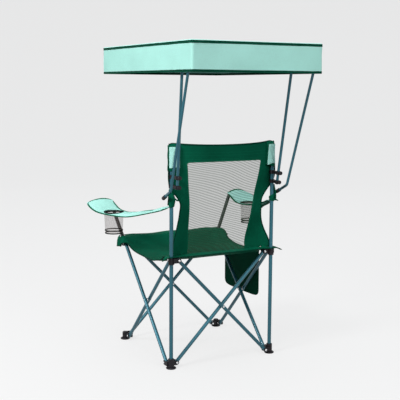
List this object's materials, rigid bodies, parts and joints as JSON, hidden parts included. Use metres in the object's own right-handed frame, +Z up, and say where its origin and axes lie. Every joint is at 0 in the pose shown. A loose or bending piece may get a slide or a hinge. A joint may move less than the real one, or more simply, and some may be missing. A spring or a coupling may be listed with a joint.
{
  "type": "canopy camping chair",
  "caption": "Folding camping chair with crossed steel tubes, hung fabric seat, mesh back, cup-holder armrests, side pouch and a tilting sun canopy.",
  "frame": {"origin": "on the ground, under the middle of the canopy, which is the middle of the whole chair's box", "axes": "+Z up, the sitter faces -Y, the sitter's left hand is at +X"},
  "size_m": [0.8372, 0.857, 1.317],
  "materials": {
    "steel_tube": "satin teal powder coat",
    "black_tube": "satin black powder coat",
    "black_plastic": "moulded black plastic",
    "rivet": "zinc plated",
    "green_fabric": "dark green woven polyester",
    "mint_fabric": "pale mint woven polyester",
    "mesh": "open beige mesh"
  },
  "bodies": {
    "root": {"rear_left_foot": "black_plastic", "rear_post_left": "steel_tube", "lower_clamp_left": "black_plastic", "upper_clamp_left": "black_plastic", "seat": "green_fabric", "back_panel": "green_fabric", "back_mesh": "mesh", "armrest_left": "mint_fabric", "cup_ring_left": "green_fabric", "cup_holder_left": "mesh", "armrest_strap_left": "green_fabric", "sleeve_patch_left": "mint_fabric"},
    "back_inner": {"back_tube_inner": "steel_tube", "back_centre_rivet": "rivet"},
    "back_outer": {"back_tube_outer": "steel_tube"},
    "rear_left_slider": {"rear_left_slider": "black_plastic"},
    "rear_right_slider": {"rear_right_slider": "black_plastic"},
    "rear_right": {"rear_right_foot": "black_plastic", "rear_post_right": "steel_tube", "lower_clamp_right": "black_plastic", "upper_clamp_right": "black_plastic", "armrest_right": "mint_fabric", "cup_ring_right": "green_fabric", "cup_holder_right": "mesh", "armrest_strap_right": "green_fabric", "sleeve_patch_right": "mint_fabric", "side_pouch": "green_fabric"},
    "left_outer": {"left_tube_outer": "steel_tube", "left_centre_rivet": "rivet"},
    "left_inner": {"left_tube_inner": "steel_tube"},
    "front_left_foot": {"front_left_foot": "black_plastic"},
    "front_left_hub": {"front_left_hub": "black_plastic", "arm_post_left": "black_tube"},
    "right_inner": {"right_tube_inner": "steel_tube", "right_centre_rivet": "rivet"},
    "right_outer": {"right_tube_outer": "steel_tube"},
    "front_right_foot": {"front_right_foot": "black_plastic"},
    "front_right_hub": {"front_right_hub": "black_plastic", "arm_post_right": "black_tube"},
    "front_outer": {"front_tube_outer": "steel_tube", "front_centre_rivet": "rivet"},
    "front_inner": {"front_tube_inner": "steel_tube"},
    "arm_left": {"straight_arm_left": "steel_tube", "tilt_bolt_left": "rivet"},
    "arm_right": {"straight_arm_right": "steel_tube", "tilt_bolt_right": "rivet"},
    "canopy_left": {"canopy_rail_left": "steel_tube", "elbow_arm_left": "steel_tube", "elbow_cap_left": "black_plastic", "canopy_fabric": "mint_fabric"},
    "canopy_right": {"canopy_rail_right": "steel_tube", "elbow_arm_right": "steel_tube", "elbow_cap_right": "black_plastic"},
    "lower_knob_left": {"lower_knob_left": "black_plastic"},
    "upper_knob_left": {"upper_knob_left": "black_plastic"},
    "lower_knob_right": {"lower_knob_right": "black_plastic"},
    "upper_knob_right": {"upper_knob_right": "black_plastic"}
  },
  "joints": [
    {"name": "frame_fold", "type": "hinge", "parent": "root", "child": "back_inner", "pos_m": [0.2095, 0.14655, 0.02], "axis": [0, 1, 0], "range_deg": [0, 35], "deforming": ["seat", "back_panel", "back_mesh", "armrest_left", "cup_ring_left", "cup_holder_left", "armrest_strap_left", "sleeve_patch_left", "armrest_right", "cup_ring_right", "cup_holder_right", "armrest_strap_right", "sleeve_patch_right", "side_pouch", "canopy_fabric"]},
    {"name": "back_cross", "type": "hinge", "parent": "back_inner", "child": "back_outer", "pos_m": [0, 0.15705, 0.23473], "axis": [0, 1, 0], "range_deg": [-70, 0]},
    {"name": "rear_right_foot_pivot", "type": "hinge", "parent": "back_outer", "child": "rear_right", "pos_m": [-0.2095, 0.16455, 0.02], "axis": [0, 1, 0], "range_deg": [0, 35]},
    {"name": "rear_left_slider_pivot", "type": "hinge", "parent": "back_outer", "child": "rear_left_slider", "pos_m": [0.2095, 0.16455, 0.44946], "axis": [0, 1, 0], "range_deg": [0, 35]},
    {"name": "rear_right_slider_pivot", "type": "hinge", "parent": "back_inner", "child": "rear_right_slider", "pos_m": [-0.2095, 0.14655, 0.44946], "axis": [0, 1, 0], "range_deg": [-35, 0]},
    {"name": "left_foot_pivot", "type": "hinge", "parent": "root", "child": "left_outer", "pos_m": [0.245, 0.12905, 0.02], "axis": [-1, 0, 0], "range_deg": [0, 35]},
    {"name": "left_cross", "type": "hinge", "parent": "left_outer", "child": "left_inner", "pos_m": [0.2375, -0.08045, 0.23473], "axis": [-1, 0, 0], "range_deg": [-70, 0]},
    {"name": "front_left_foot_pivot", "type": "hinge", "parent": "left_inner", "child": "front_left_foot", "pos_m": [0.227, -0.28995, 0.02], "axis": [-1, 0, 0], "range_deg": [0, 35]},
    {"name": "front_left_hub_pivot", "type": "hinge", "parent": "left_outer", "child": "front_left_hub", "pos_m": [0.245, -0.28995, 0.44946], "axis": [-1, 0, 0], "range_deg": [-35, 0]},
    {"name": "right_foot_pivot", "type": "hinge", "parent": "rear_right", "child": "right_inner", "pos_m": [-0.227, 0.12905, 0.02], "axis": [-1, 0, 0], "range_deg": [0, 35]},
    {"name": "right_cross", "type": "hinge", "parent": "right_inner", "child": "right_outer", "pos_m": [-0.2375, -0.08045, 0.23473], "axis": [-1, 0, 0], "range_deg": [-70, 0]},
    {"name": "front_right_foot_pivot", "type": "hinge", "parent": "right_outer", "child": "front_right_foot", "pos_m": [-0.245, -0.28995, 0.02], "axis": [-1, 0, 0], "range_deg": [0, 35]},
    {"name": "front_right_hub_pivot", "type": "hinge", "parent": "right_inner", "child": "front_right_hub", "pos_m": [-0.227, -0.28995, 0.44946], "axis": [-1, 0, 0], "range_deg": [-35, 0]},
    {"name": "front_foot_pivot", "type": "hinge", "parent": "front_left_foot", "child": "front_outer", "pos_m": [0.2095, -0.32545, 0.02], "axis": [0, 1, 0], "range_deg": [0, 35]},
    {"name": "front_cross", "type": "hinge", "parent": "front_outer", "child": "front_inner", "pos_m": [0, -0.31795, 0.23473], "axis": [0, 1, 0], "range_deg": [-70, 0]},
    {"name": "canopy_lift", "type": "slide", "parent": "root", "child": "arm_left", "axis": [0.0328, 0.1477, 0.9885], "range_m": [-0.08, 0]},
    {"name": "canopy_lift_right", "type": "slide", "parent": "rear_right", "child": "arm_right", "axis": [-0.0328, 0.1477, 0.9885], "range_m": [-0.08, 0]},
    {"name": "canopy_tilt", "type": "hinge", "parent": "arm_left", "child": "canopy_left", "pos_m": [0.25251, 0.28569, 1.30896], "axis": [1, 0, 0], "range_deg": [-10, 12]},
    {"name": "canopy_tilt_right", "type": "hinge", "parent": "arm_right", "child": "canopy_right", "pos_m": [-0.25251, 0.28569, 1.30896], "axis": [1, 0, 0], "range_deg": [-10, 12]},
    {"name": "lower_knob_left_turn", "type": "hinge", "parent": "root", "child": "lower_knob_left", "pos_m": [0.23401, 0.20234, 0.75126], "axis": [0, 1, 0], "range_deg": [0, 360]},
    {"name": "lower_knob_right_turn", "type": "hinge", "parent": "rear_right", "child": "lower_knob_right", "pos_m": [-0.23401, 0.20234, 0.75126], "axis": [0, 1, 0], "range_deg": [0, 360]},
    {"name": "upper_knob_left_turn", "type": "hinge", "parent": "root", "child": "upper_knob_left", "pos_m": [0.23529, 0.20812, 0.78996], "axis": [0, 1, 0], "range_deg": [0, 360]},
    {"name": "upper_knob_right_turn", "type": "hinge", "parent": "rear_right", "child": "upper_knob_right", "pos_m": [-0.23529, 0.20812, 0.78996], "axis": [0, 1, 0], "range_deg": [0, 360]}
  ],
  "couplings": [
    {"joint": "back_cross", "follows": "frame_fold", "ratio": -2},
    {"joint": "rear_right_foot_pivot", "follows": "frame_fold", "ratio": 1},
    {"joint": "rear_left_slider_pivot", "follows": "frame_fold", "ratio": 1},
    {"joint": "rear_right_slider_pivot", "follows": "frame_fold", "ratio": -1},
    {"joint": "left_foot_pivot", "follows": "frame_fold", "ratio": 1},
    {"joint": "left_cross", "follows": "frame_fold", "ratio": -2},
    {"joint": "front_left_foot_pivot", "follows": "frame_fold", "ratio": 1},
    {"joint": "front_left_hub_pivot", "follows": "frame_fold", "ratio": -1},
    {"joint": "right_foot_pivot", "follows": "frame_fold", "ratio": 1},
    {"joint": "right_cross", "follows": "frame_fold", "ratio": -2},
    {"joint": "front_right_foot_pivot", "follows": "frame_fold", "ratio": 1},
    {"joint": "front_right_hub_pivot", "follows": "frame_fold", "ratio": -1},
    {"joint": "front_foot_pivot", "follows": "frame_fold", "ratio": 1},
    {"joint": "front_cross", "follows": "frame_fold", "ratio": -2},
    {"joint": "canopy_lift_right", "follows": "canopy_lift", "ratio": 1},
    {"joint": "canopy_tilt_right", "follows": "canopy_tilt", "ratio": 1}
  ]
}
